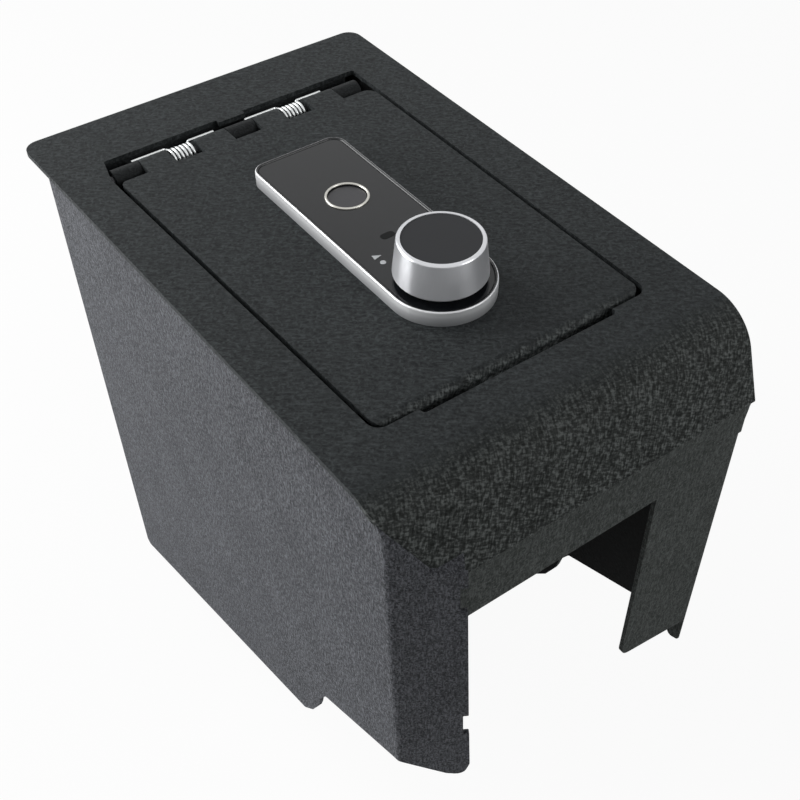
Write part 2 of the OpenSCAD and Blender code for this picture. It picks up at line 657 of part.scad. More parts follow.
// Rings of a tube along a path, each frame carried on from the last
function tangent(p, i) = unit(p[min(i + 1, len(p) - 1)] - p[max(i - 1, 0)]);
function side(t, n) = unit(n - t * (t * n));
function frames(p, i, n) = i >= len(p) ? [] :
  let (t = tangent(p, i), m = side(t, n)) concat([[p[i], m, cross(t, m)]],
  frames(p, i + 1, m));
function tube_points(f, r, s) = [for (g = f, k = [0:s - 1])
  g[0] + r * (g[1] * cos(360 * k / s) + g[2] * sin(360 * k / s))];
function tube_faces(n, s) = concat([[for (k = [0:s - 1]) k]],
  [for (i = [0:n - 2], k = [0:s - 1]) each [
    [i * s + k, (i + 1) * s + k, (i + 1) * s + (k + 1) % s],
    [i * s + k, (i + 1) * s + (k + 1) % s, i * s + (k + 1) % s]]],
  [[for (k = [s - 1:-1:0]) (n - 1) * s + k]]);
// Points every half millimetre along the centre line, with their distance along it
function spread(p) = [for (i = [0:len(p) - 2]) let (d = norm(p[i + 1] - p[i]),
  n = max(1, ceil(d / 0.5))) each [for (k = [0:n - 1]) p[i] + (p[i + 1] - p[i]) * k / n]];
function least_gap(p, far) = min([for (i = [0:2:len(p) - 1])
  for (j = [i + far:len(p) - 1]) norm(p[i] - p[j])]) - wire_d;
echo(spring_least_gap = least_gap(spread(spring_path), 16));

module lid_spring() polyhedron(points = tube_points(
  frames(spring_path, 0, [0, 0, 1]), wire_d / 2, 6),
  faces = tube_faces(len(spring_path), 6));
module left_spring() place() color("#d2d4d6") translate([coil_x(0), 0, 0]) lid_spring();
module right_spring() place() color("#d2d4d6") translate([coil_x(1), 0, 0]) lid_spring();

// Outline of the lid's skin in plan
module lid_plan() polygon(rounded([
  [left_edge(lid_front) + lid_gap, lid_front, opening_corner_r - lid_gap + 1],
  [lid_half, lid_front, opening_corner_r - lid_gap + 1],
  [lid_half, lid_rear, 6], [left_edge(lid_rear) + lid_gap, lid_rear, 3]]));
// Section of the lid's skin with its rolled front edge
module lid_section() {
  translate([lid_front + lid_roll_r, -sheet]) square([lid_rear - lid_front - lid_roll_r,
    sheet]);
  translate([lid_front, -lid_flange]) square([sheet, lid_flange - lid_roll_r]);
  translate([lid_front + lid_roll_r, -lid_roll_r]) intersection() {
    difference() {
      circle(r = lid_roll_r);
      circle(r = lid_roll_r - sheet);
    }
    translate([-lid_roll_r, 0]) square(lid_roll_r);
  }
}
// Left and right end of the lid between two body knuckles
function lid_span(i) = [body_knuckles[i][0] + body_knuckles[i][1] + knuckle_gap,
  body_knuckles[i + 1][0] - knuckle_gap];
function coil_x(i) = (lid_span(i)[0] + lid_knuckle_a + lid_span(i)[1]
  - lid_knuckle_b) / 2;
knuckles = [for (i = [0, 1]) each [[lid_span(i)[0], lid_knuckle_a],
  [lid_span(i)[1] - lid_knuckle_b, lid_knuckle_b]]];

module lid_panel() place() color("#3c3e40") difference() {
  union() {
    intersection() {
      flat(-lid_flange - 1, 1) lid_plan();
      across(left_edge(lid_rear), lid_half) lid_section();
    }
    y0 = lid_front + 2 * opening_corner_r;
    y1 = lid_rear - 8;
    block([lid_half - sheet, y0, -lid_flange], [lid_half, y1, -sheet]);
    flat(-lid_flange, -sheet) polygon([for (q = [[0.05, y0], [sheet, y0], [sheet, y1],
      [0.05, y1]]) [left_edge(q[1]) + lid_gap + q[0], q[1]]]);
    for (k = knuckles) {
      rod_x(k[0], k[0] + k[1], hinge_y, hinge_z, barrel_r);
      block([k[0], lid_rear - 1, -sheet], [k[0] + k[1], hinge_y, 0]);
    }
  }
  rod_x(hinge_left, hinge_right, hinge_y, hinge_z, bore_r);
  translate([0, knob_y, -sheet - 1]) cylinder(r = spindle_r + 1, h = sheet + 2);
  translate([0, sensor_y, -sheet - 1]) cylinder(r = ring_r - ring_w / 2,
    h = sheet + 2);
  for (p = screw_pts) translate([p[0], p[1], -sheet - 1])
    cylinder(r = screw_r + fit, h = sheet + 2);
}

// Section of the lock rim, from its outer face inward
module rim_section() {
  square([rim_wall, rim_h - rim_wall / 2]);
  translate([rim_wall / 2, rim_h - rim_wall / 2]) circle(r = rim_wall / 2, $fn = 32);
}
// Outline of the lock in plan, drawn in by d
module lock_plan(d) {
  translate([0, knob_y]) circle(r = rim_half - d, $fn = 128);
  polygon(rounded([[-rim_half + d, knob_y, 0], [rim_half - d, knob_y, 0],
    [rim_half - d, rim_rear - d, rim_corner_r - d],
    [-rim_half + d, rim_rear - d, rim_corner_r - d]], 16));
}
module rim_turn(r, a, b) rotate([0, 0, a]) rotate_extrude(angle = b, $fn = 128)
  translate([r, 0]) mirror([1, 0, 0]) rim_section();

module lock_rim() place() color("#d9dadc") difference() {
  union() {
    flat(0, bed_h) lock_plan(rim_wall / 2);
    translate([0, knob_y, 0]) rim_turn(rim_half, 180, 180);
    for (s = [0, 1]) mirror([s, 0, 0]) {
      translate([-rim_half, rim_rear - rim_corner_r, 0]) rotate([90, 0, 0])
        linear_extrude(rim_rear - rim_corner_r - knob_y) rim_section();
      translate([-rim_half + rim_corner_r, rim_rear - rim_corner_r, 0])
        rim_turn(rim_corner_r, 90, 90);
    }
    translate([-rim_half + rim_corner_r, rim_rear, 0]) rotate([90, 0, 90])
      linear_extrude(2 * (rim_half - rim_corner_r)) mirror([1, 0, 0]) rim_section();
  }
  translate([0, knob_y, -1]) cylinder(r = spindle_r + 1, h = rim_h + 2);
  translate([0, sensor_y, -1]) cylinder(r = ring_r - ring_w / 2, h = rim_h + 2);
  for (p = screw_pts) translate([p[0], p[1], -1])
    cylinder(r = screw_r + fit, h = bed_h + 0.4);
}

module window_plan(d) translate([-window_x, window_y]) polygon(rounded([
  [-3.4 - d, -1.9 - d, 1.8 + d], [3.4 + d, -1.9 - d, 1.8 + d],
  [3.4 + d, 1.9 + d, 1.8 + d], [-3.4 - d, 1.9 + d, 1.8 + d]]));

module lock_face() place() color("#3a3b3d") difference() {
  flat(bed_h, face_top) lock_plan(rim_wall + face_gap);
  translate([0, knob_y, 0]) cylinder(r = spindle_r + 1, h = rim_h + 2);
  translate([0, sensor_y, 0]) cylinder(r = ring_r - ring_w / 2, h = rim_h + 2);
  flat(bed_h - 1, rim_h + 2) window_plan(0.1);
}
module sensor_ring() place() color("#d9dadc") translate([0, sensor_y, face_top])
  rotate_extrude($fn = 96) translate([ring_r, 0]) union() {
    translate([-ring_w / 2, 0]) square([ring_w, ring_h - ring_w / 2 + 0.2]);
    intersection() {
      translate([0, ring_h - ring_w / 2]) circle(r = ring_w / 2, $fn = 32);
      translate([-ring_w, 0]) square([2 * ring_w, 2]);
    }
  }
module fingerprint_pad() place() color("#2c2d30") translate([0, sensor_y, 0]) union() {
  translate([0, 0, -2 * sheet - 1.4]) cylinder(r = 6, h = 5);
  translate([0, 0, -sheet + 0.5]) cylinder(r = ring_r - ring_w / 2 - 0.25,
    h = sheet + face_top - 1);
}
module status_window() place() color("#1d1e20") flat(bed_h, face_top + 0.1)
  window_plan(0);
// A small pointer and a dot beside the knob
module index_marks() place() color("#e4e5e6") {
  flat(face_top, face_top + 0.2) translate([-14.4, 92.9]) polygon([[-1.8, -1.2],
    [2.2, -0.2], [-1.4, 1.8]]);
  translate([-14.4, 88.2, face_top]) cylinder(r = 1.3, h = 0.2, $fn = 32);
}

module lock_case() place() color("#2a2b2d") difference() {
  union() {
    difference() {
      block([-case_half, case_front, case_low], [case_half, case_rear, case_top]);
      block([-case_half + case_wall, case_front + case_wall, case_low - 1],
        [case_half - case_wall, case_rear - case_wall, case_top - case_wall]);
    }
    translate([0, knob_y, -bolt_top + 2]) cylinder(r = spindle_r + 4,
      h = bolt_top - 2 - sheet - 1);
    for (p = screw_pts) translate([p[0], p[1], case_low])
      cylinder(r = screw_r + 2.4, h = case_depth - case_wall + 0.5);
    for (x = [-18, 18], y = [cell_y - 24, cell_y + 24])
      translate([x, y, case_top - 3.9]) cylinder(r = 2, h = 3, $fn = 32);
    block([-bolt_half - case_wall, case_front + 44, -bolt_top + bolt_gap],
      [-bolt_half + 8, case_front + 50, case_top - 1]);
  }
  translate([0, knob_y, -bolt_top - 5]) cylinder(r = spindle_r + fit, h = bolt_top + 5);
  translate([0, sensor_y, -3 * sheet]) cylinder(r = 6.4, h = 3 * sheet);
  for (p = screw_pts) translate([p[0], p[1], case_low - 1])
    cylinder(r = screw_r + fit, h = case_depth + 2);
  block([-bolt_half - bolt_gap, case_front - 1, bolt_low - bolt_gap],
    [bolt_half + bolt_gap, case_front + case_wall + 1, -bolt_top + bolt_gap]);
}
module circuit_board() place() color("#1f5a37") difference() {
  union() {
    flat(case_top - 5.5, case_top - 3.9) {
      translate([-22, cell_y - 28]) square([44, 57]);
      translate([-13, window_y - 8]) square([26, 20]);
    }
    for (p = [[-14, 8, 10, 7], [6, 10, 9, 9], [-4, -20, 9, 6]])
      block([p[0], cell_y + p[1], case_top - 7.3],
        [p[0] + p[2], cell_y + p[1] + p[3], case_top - 5.5]);
  }
}
module battery_tray() place() color("#303134") {
  top = cell_z + cell_r + 0.8;
  for (s = [-1, 1]) block([s > 0 ? tray_half : -tray_half - 1.4,
    cell_y - tray_len / 2 - 1.4, case_low], [s > 0 ? tray_half + 1.4 : -tray_half,
    cell_y + tray_len / 2 + 1.4, case_top - case_wall]);
  block([-tray_half, cell_y - tray_len / 2 - 1.4, top],
    [tray_half, cell_y + tray_len / 2 + 1.4, top + 1.4]);
  for (y = [cell_y - tray_len / 2 - 1.4, cell_y + tray_len / 2])
    block([-tray_half, y, case_low], [tray_half, y + 1.4, top]);
}
module battery_cells() place() color("#9a7b3c") for (k = [-1.5:1:1.5])
  translate([k * (2 * cell_r + 0.6), cell_y - cell_l / 2, cell_z]) rotate([-90, 0, 0])
    cylinder(r = cell_r, h = cell_l);
door_half = tray_half - 2;
door_y0 = cell_y - tray_len / 2;
door_y1 = cell_y + tray_len / 2;
module case_cover() place() color("#2a2b2d") difference() {
  union() {
    block([-case_half, case_front, cover_low], [case_half, case_rear, case_low]);
    block([-bolt_half, case_front + 20, case_low],
      [-bolt_half + 9, case_front + 48, bolt_low - bolt_gap]);
  }
  block([-door_half, door_y0, cover_low - 1], [door_half, door_y1, case_low + 1]);
  for (p = screw_pts) translate([p[0], p[1], cover_low - 1])
    cylinder(r = screw_r + fit, h = case_wall + 2);
}
module battery_door() place() color("#26272a") difference() {
  block([-door_half + 0.2, door_y0 + 0.2, cover_low],
    [door_half - 0.2, door_y1 - 0.2, case_low]);
  for (k = [0:3]) block([-8, door_y1 - 12 + 2.4 * k, cover_low - 1],
    [8, door_y1 - 11 + 2.4 * k, cover_low + 0.7]);
}
module case_screws() place() color("#b9bbbd") for (p = screw_pts)
  translate([p[0], p[1], cover_low]) difference() {
    union() {
      cylinder(r = screw_r, h = bed_h - 1 - cover_low);
      translate([0, 0, -2.2]) cylinder(r = screw_head_r, h = 2.2);
    }
    translate([0, 0, -3]) cylinder(r = 1.4, h = 2, $fn = 6);
  }
module lock_solenoid() place() color("#8f9194") {
  x0 = bolt_half - 7;
  y0 = knob_y - 2;
  zc = -bolt_top;
  block([x0, y0, case_top - case_wall - 2], [x0 + 14, y0 + 22, case_top - case_wall]);
  for (y = [y0, y0 + 20.5]) block([x0, y, zc - 7], [x0 + 14, y + 1.5,
    case_top - case_wall - 1]);
  translate([x0 + 7, y0 + 1, zc]) rotate([-90, 0, 0]) cylinder(r = 6.4, h = 20);
  translate([x0 + 7, y0 - 4, zc]) rotate([-90, 0, 0]) cylinder(r = 2, h = 6);
}

rack_pts = [for (k = [-6:4]) let (y = knob_y + (k + 0.5) * PI * gear_m,
  h = (PI * gear_m - backlash) / 4)
  if (y > knob_y - travel - 7 && y < knob_y + 9) each [
    [-pitch_r - 1.25 * gear_m, y - h - 1.25 * gear_m * tan(20)],
    [-pitch_r + 0.9 * gear_m, y - h + 0.9 * gear_m * tan(20)],
    [-pitch_r + 0.9 * gear_m, y + h - 0.9 * gear_m * tan(20)],
    [-pitch_r - 1.25 * gear_m, y + h + 1.25 * gear_m * tan(20)]]];
bolt_rear = case_front + case_wall + 2.4;
module latch_bolt() place() color("#a9abad") translate([0, travel, 0]) difference() {
  flat(bolt_low, -bolt_top) polygon(concat([[-bolt_half, knob_y + 14],
    [-bolt_half, bolt_front], [bolt_half, bolt_front], [bolt_half, bolt_rear],
    [-pitch_r - 1.25 * gear_m, bolt_rear]], rack_pts,
    [[-pitch_r - 1.25 * gear_m, knob_y + 14]]));
  across(-bolt_half - 1, bolt_half + 1) polygon([[bolt_front - 1, bolt_low + 4],
    [bolt_front - 1, bolt_low - 1], [bolt_front + 4, bolt_low - 1]]);
}
function flank(k, s) = let (t = tip_t * k / 4, r = base_r * sqrt(1 + t * t),
  a = s * (tooth_half - (t * 180 / PI - atan(t)))) [r, a];
pinion_pts = [for (i = [0:gear_teeth - 1]) let (c = 360 * i / gear_teeth) each concat(
  [gear_root * [cos(c - tooth_half), sin(c - tooth_half)]],
  [for (k = [0:4]) let (f = flank(k, -1)) f[0] * [cos(c + f[1]), sin(c + f[1])]],
  [for (k = [4:-1:0]) let (f = flank(k, 1)) f[0] * [cos(c + f[1]), sin(c + f[1])]],
  [gear_root * [cos(c + tooth_half), sin(c + tooth_half)]])];

module drive_pinion() place() color("#b08d3e") translate([0, knob_y, bolt_low])
  rotate([0, 0, -knob_turn]) difference() {
    linear_extrude(bolt_t) polygon(pinion_pts);
    translate([0, 0, -1]) cylinder(r = spindle_r + 0.02, h = bolt_t + 2);
  }
module spindle() place() color("#b9bbbd") translate([0, knob_y, spindle_low]) union() {
  cylinder(r = spindle_r, h = knob_top - 5 - spindle_low);
  translate([0, 0, 0.6]) cylinder(r = spindle_r + 2, h = bolt_low - spindle_low - 0.6);
}
module knob_shell() place() color("#dcdddf") translate([0, knob_y, 0]) difference() {
  rotate_extrude($fn = 128) polygon(concat([[0, knob_foot], [spindle_r + 3, knob_foot],
    [spindle_r + 3, knob_top - 5], [knob_top_r - 3, knob_top - 5],
    [knob_foot_r - 2.2, knob_foot]], [[knob_foot_r - 0.7, knob_foot],
    [knob_foot_r, knob_foot + 0.9]],
    [for (k = [0:6]) [knob_top_r - 0.9 + 0.9 * cos(15 * k),
      knob_top - 0.9 + 0.9 * sin(15 * k)]],
    [[cap_r + 0.15, knob_top], [cap_r + 0.15, knob_top - 1.2],
    [0, knob_top - 1.2]]));
  translate([0, 0, knob_foot - 1]) cylinder(r = spindle_r + 0.02,
    h = knob_top - 5 - knob_foot + 1);
}
module knob_cap() place() color("#3a3b3d") translate([0, knob_y, knob_top - 1.2])
  cylinder(r = cap_r, h = 0.9, $fn = 128);

top_plate();
front_panel();
left_wall();
right_wall();
rear_wall();
floor_pan();
left_ledge();
right_ledge();
bump_stops();
strike_plate();
hinge_rail();
hinge_pin();
left_spring();
right_spring();
lid_panel();
lock_rim();
lock_face();
sensor_ring();
fingerprint_pad();
status_window();
index_marks();
lock_case();
circuit_board();
battery_tray();
battery_cells();
case_cover();
battery_door();
case_screws();
lock_solenoid();
latch_bolt();
knob_shell();
knob_cap();
spindle();
drive_pinion();
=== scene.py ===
"""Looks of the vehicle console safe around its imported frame. Metres, row frame."""
import math

import bpy
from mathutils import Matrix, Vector


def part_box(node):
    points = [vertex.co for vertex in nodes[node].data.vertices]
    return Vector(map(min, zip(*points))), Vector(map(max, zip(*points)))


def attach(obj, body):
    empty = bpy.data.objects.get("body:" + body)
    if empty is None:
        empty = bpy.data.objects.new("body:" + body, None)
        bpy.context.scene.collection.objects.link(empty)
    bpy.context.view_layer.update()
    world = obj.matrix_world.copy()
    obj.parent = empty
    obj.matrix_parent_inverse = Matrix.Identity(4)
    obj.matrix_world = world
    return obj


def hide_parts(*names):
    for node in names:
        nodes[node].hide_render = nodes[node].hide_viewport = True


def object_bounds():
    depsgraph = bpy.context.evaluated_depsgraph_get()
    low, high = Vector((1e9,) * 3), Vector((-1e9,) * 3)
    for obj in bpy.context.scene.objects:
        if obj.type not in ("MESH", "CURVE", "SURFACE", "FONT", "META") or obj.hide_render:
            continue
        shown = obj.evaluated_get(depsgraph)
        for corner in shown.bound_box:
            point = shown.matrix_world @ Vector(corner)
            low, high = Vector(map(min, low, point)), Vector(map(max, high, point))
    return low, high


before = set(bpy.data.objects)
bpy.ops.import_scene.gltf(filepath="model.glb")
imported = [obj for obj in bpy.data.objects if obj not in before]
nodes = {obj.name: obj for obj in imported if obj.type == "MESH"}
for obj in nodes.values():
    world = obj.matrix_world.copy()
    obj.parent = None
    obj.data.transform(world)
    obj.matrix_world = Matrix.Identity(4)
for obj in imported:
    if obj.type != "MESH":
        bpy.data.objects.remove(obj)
cad_box = [list(map(float, corner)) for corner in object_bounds()]

MM = 0.001
# Middle of the hinge from the middle of the plate's front edge, mm
HINGE_X = -4.0
# Hinge axis behind the datum line, mm
HINGE_Y = 227.5
# Hinge axis under the plate's top, mm
HINGE_Z = -5.5
pin_low, pin_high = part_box("hinge_pin")
AXIS = (pin_low + pin_high) / 2


def at(x, y, z):
    """A point given from the plate's middle, the datum line and the plate's top, in mm."""
    return AXIS + Vector((x - HINGE_X, y - HINGE_Y, z - HINGE_Z)) * MM


# Materials
class Mat:
    """A node material with the Principled shader and short calls for its nodes."""

    def __init__(self, name, **sockets):
        self.material = bpy.data.materials.new(name)
        self.material.use_nodes = True
        self.tree = self.material.node_tree
        self.shader = self.tree.nodes["Principled BSDF"]
        for key, value in sockets.items():
            self.shader.inputs[key.replace("_", " ")].default_value = value
        self.coord = self.tree.nodes.new("ShaderNodeTexCoord").outputs["Object"]

    def add(self, kind, links=None, values=None, **attributes):
        node = self.tree.nodes.new("ShaderNode" + kind)
        for key, value in attributes.items():
            setattr(node, key, value)
        for key, value in (values or {}).items():
            node.inputs[key].default_value = value
        for key, socket in (links or {}).items():
            self.tree.links.new(socket, node.inputs[key])
        return node

    def link(self, socket, name):
        self.tree.links.new(socket, self.shader.inputs[name])

    def stretch(self, scale, turn=(0, 0, 0)):
        """Coordinates turned by degrees and then drawn out where scale is under 1."""
        return self.add("Mapping", {"Vector": self.coord},
                        {"Scale": tuple(1 / v for v in scale),
                         "Rotation": tuple(math.radians(v) for v in turn)},
                        vector_type="TEXTURE").outputs["Vector"]

    def noise(self, per_metre, detail=2.0, rough=0.5, distortion=0.0, vector=None):
        return self.add("TexNoise", {"Vector": vector or self.coord},
                        {"Scale": per_metre, "Detail": detail, "Roughness": rough,
                         "Distortion": distortion}).outputs["Fac"]

    def span(self, socket, low, high, to_low, to_high):
        return self.add("MapRange", {"Value": socket},
                        {"From Min": low, "From Max": high, "To Min": to_low,
                         "To Max": to_high}).outputs["Result"]

    def ramp(self, socket, stops):
        node = self.add("ValToRGB", {"Fac": socket})
        ramp = node.color_ramp
        while len(ramp.elements) < len(stops):
            ramp.elements.new(0.5)
        for element, (place, colour) in zip(ramp.elements, stops):
            element.position = place
            element.color = (*colour, 1)
        return node.outputs["Color"]

    def sum(self, a, b, share):
        """a plus b times share."""
        return self.add("Math", {0: b, 2: a}, {1: share},
                        operation="MULTIPLY_ADD").outputs[0]

    def bump(self, socket, distance, strength=1.0):
        return self.add("Bump", {"Height": socket},
                        {"Distance": distance, "Strength": strength}).outputs["Normal"]


def srgb(*values):
    """8-bit screen colour to linear."""
    return tuple(v / 255 / 12.92 if v / 255 <= 0.04045
                 else ((v / 255 + 0.055) / 1.055) ** 2.4 for v in values)


# Gloss of the powder coat and the height of its wrinkles
COAT_SHADER = {"Specular_IOR_Level": 0.12, "Roughness": 0.6}
WRINKLE_HEIGHT = 0.2 * MM
# Usual value of the larger of two wrinkle noises, of their sum, and of what the
# tooth and the cloud add to it
LARGER_MIDDLE = 0.56
SUM_MIDDLE = 1.0
TOOTH_MIDDLE = 0.165


def coat(name, look):
    """Textured powder coat: wrinkles that cross each other, a fine tooth, a faint cloud."""
    m = Mat(name, **COAT_SHADER)
    colour, height_map = weave_of(m, *look)
    m.link(colour, "Base Color")
    m.link(m.bump(height_map, WRINKLE_HEIGHT), "Normal")
    return m.material


def weave_of(m, dark, light, weave, grain, spread, twist, share=0.4):
    """Colour and height of the coat's wrinkles; crossed ones where there is no twist."""
    one, other = (m.noise(grain, 2.0, 0.5, twist, m.stretch(*way)) for way in weave)
    if twist:
        wrinkle = m.add("Math", {0: one, 1: other}, operation="MAXIMUM").outputs[0]
        middle = LARGER_MIDDLE + TOOTH_MIDDLE
    else:
        wrinkle = m.sum(one, other, 1.0)
        middle = SUM_MIDDLE + TOOTH_MIDDLE
    tooth = m.noise(grain * 2.6, 2.0, 0.5)
    cloud = m.noise(30, 2.0, 0.5)
    crest = m.sum(m.sum(wrinkle, tooth, 0.25), cloud, 0.08)
    between = tuple(a * (1 - share) + b * share for a, b in zip(dark, light))
    colour = m.ramp(m.span(crest, middle - spread, middle + spread, 0, 1),
                    [(0, dark), (0.5, between), (1, light)])
    return colour, m.sum(wrinkle, tooth, 0.22)


def two_coats(name, first, second, axis, low, high, normal=False):
    """Coat that goes from the first look to the second one between two places or slopes."""
    m = Mat(name, **COAT_SHADER)
    colour_a, height_a = weave_of(m, *first)
    colour_b, height_b = weave_of(m, *second)
    source = m.add("TexCoord").outputs["Normal"] if normal else m.coord
    place = m.add("SeparateXYZ", {"Vector": source}).outputs[axis]
    share = m.span(m.sum(place, m.noise(170, 2.0), 0.0 if normal else 0.006),
                   low, high, 0, 1)
    m.link(m.add("Mix", {0: share, 6: colour_a, 7: colour_b},
                 data_type="RGBA").outputs[2], "Base Color")
    m.link(m.bump(m.add("Mix", {0: share, 2: height_a, 3: height_b},
                        data_type="FLOAT").outputs[0], WRINKLE_HEIGHT), "Normal")
    return m.material


def chrome(name, colour, rough, streak=0.05, turned=0.0, metal=1.0):
    """Satin plated metal with a faint grain."""
    m = Mat(name, Metallic=metal)
    cloud = m.noise(55, 2.0)
    fine = m.noise(1500, 3.0, 0.6, 0, m.stretch((1, 1, 0.12)))
    low = tuple(c * 0.93 for c in colour)
    m.link(m.ramp(m.sum(cloud, fine, 0.4), [(0.45, low), (0.95, colour)]), "Base Color")
    m.link(m.span(m.sum(cloud, fine, 0.5), 0.45, 1.05, rough - streak, rough + streak),
           "Roughness")
    m.link(m.bump(fine, 0.004 * MM, 0.5), "Normal")
    if turned:
        m.shader.inputs["Anisotropic"].default_value = turned
        m.shader.inputs["Anisotropic Rotation"].default_value = 0.25
        tangent = m.add("Tangent", direction_type="RADIAL", axis="Z")
        m.link(tangent.outputs["Tangent"], "Tangent")
    return m.material


def rim_with_painted_light(name):
    """Satin plated metal with a painted highlight that grows towards its top, and painted
    shade that makes its level top face and its inner side nearly as dark as the lock face.
    """
    low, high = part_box("lock_rim")
    m = Mat(name, Specular_IOR_Level=0.4)
    normal = m.add("TexCoord").outputs["Normal"]
    up = m.add("SeparateXYZ", {"Vector": normal}).outputs["Z"]
    off = m.add("VectorMath", {0: m.coord}, {1: (low + high) / 2}, operation="SUBTRACT")
    out = m.add("VectorMath", {0: off.outputs["Vector"], 1: normal},
                operation="DOT_PRODUCT").outputs["Value"]
    # Painted shade: the rim's level top face and its inner side are drawn near black
    painted_shade_mask = m.add("Math", {0: m.span(up, 0.9, 0.99, 0, 1),
                          1: m.span(out, -0.002, 0.002, 1, 0)},
                 operation="MAXIMUM").outputs[0]
    cloud = m.sum(m.noise(55, 2.0), m.noise(1500, 3.0, 0.6), 0.4)
    height = m.add("SeparateXYZ", {"Vector": m.coord}).outputs["Z"]
    # Painted highlight: the metal is drawn lighter towards the rim's top and darker at its
    # foot
    painted_highlight_climb = m.sum(m.span(height, low[2], high[2], 0, 1), cloud, 0.06)
    silver = m.ramp(painted_highlight_climb, [(0.06, (0.42, 0.43, 0.44)), (0.5, (0.66, 0.67, 0.68)),
                            (0.72, (0.90, 0.91, 0.92)), (1, (0.93, 0.94, 0.95))])
    painted_shade_black = m.ramp(cloud, [(0.45, srgb(30, 32, 34)), (0.95, srgb(36, 38, 40))])
    m.link(m.add("Mix", {0: painted_shade_mask, 6: silver, 7: painted_shade_black}, data_type="RGBA").outputs[2],
           "Base Color")
    m.link(m.span(painted_shade_mask, 0, 1, 0.25, 0.0), "Metallic")
    m.link(m.sum(m.span(painted_shade_mask, 0, 1, 0.3, 0.14), cloud, 0.03), "Roughness")
    return m.material


def plastic(name, colour, rough, grain=900, height=0.03, vary=0.12, level=0.5):
    """Moulded plastic or rubber with a fine spark-eroded grain."""
    m = Mat(name, Specular_IOR_Level=level)
    fine = m.noise(grain, 3.0, 0.55)
    cloud = m.noise(45, 2.0)
    both = m.sum(fine, cloud, 0.5)
    m.link(m.ramp(both, [(0.5, tuple(c * (1 - vary) for c in colour)),
                         (1.0, tuple(c * (1 + vary) for c in colour))]), "Base Color")
    m.link(m.span(both, 0.5, 1.0, rough - 0.04, rough + 0.05), "Roughness")
    m.link(m.bump(fine, height * MM), "Normal")
    return m.material


# Two directions of the wrinkles on a sheet: how far each is drawn out and its turn
LEVEL = (((0.5, 1.4, 1.4), (0, 0, -38)), ((1.1, 0.9, 0.9), (0, 0, -38)))
LINEN = (((0.42, 1.4, 1.4), (0, 28, 0)), ((1.4, 0.42, 0.42), (0, 28, 0)))
UPRIGHT = (((1.4, 1.4, 0.4),), ((1.2, 0.9, 1.2),))
# Dark and light colour, directions, wrinkles a metre, spread of tone, twist and the
# share of light in the middle tone
FLAT_LOOK = (srgb(30, 32, 33), srgb(71, 75, 76), LEVEL, 560, 0.19, 0.3)
# The lid's front roll is drawn lighter and more mottled: wear along the fold together with
# a painted highlight
WORN_AND_HIGHLIT_LOOK = (srgb(32, 34, 34), srgb(126, 131, 130), LINEN, 760, 0.26, 0, 0.3)
# Painted highlight and shade on the plate's roll: light specks and dark pits in the coat's
# colour stand in for the front lamp's glints on its wrinkles
LIP_PAINTED_HIGHLIGHT_LOOK = (srgb(14, 17, 15), srgb(107, 111, 109), LINEN, 780, 0.27, 0, 0.22)
FRONT_LOOK = (srgb(44, 47, 45), srgb(92, 96, 94), UPRIGHT, 800, 0.14, 0.3)
# Partly painted light: the walls' coat is written lighter than the plate's, for the key-lit
# left side, on top of the left lamp's light
WALL_PAINTED_LIGHT_LOOK = (srgb(42, 43, 46), srgb(106, 108, 113), UPRIGHT, 860, 0.13, 0.2)
# Painted shade: a much darker copy of the coat for faces inside the box, which lie in shade
PAINTED_SHADE_LOOK = (srgb(18, 19, 19), srgb(34, 35, 35), LEVEL, 620, 0.2, 0.3)
HINGE_LOOK = (srgb(21, 22, 23), srgb(50, 53, 54), LEVEL, 800, 0.2, 0.3)
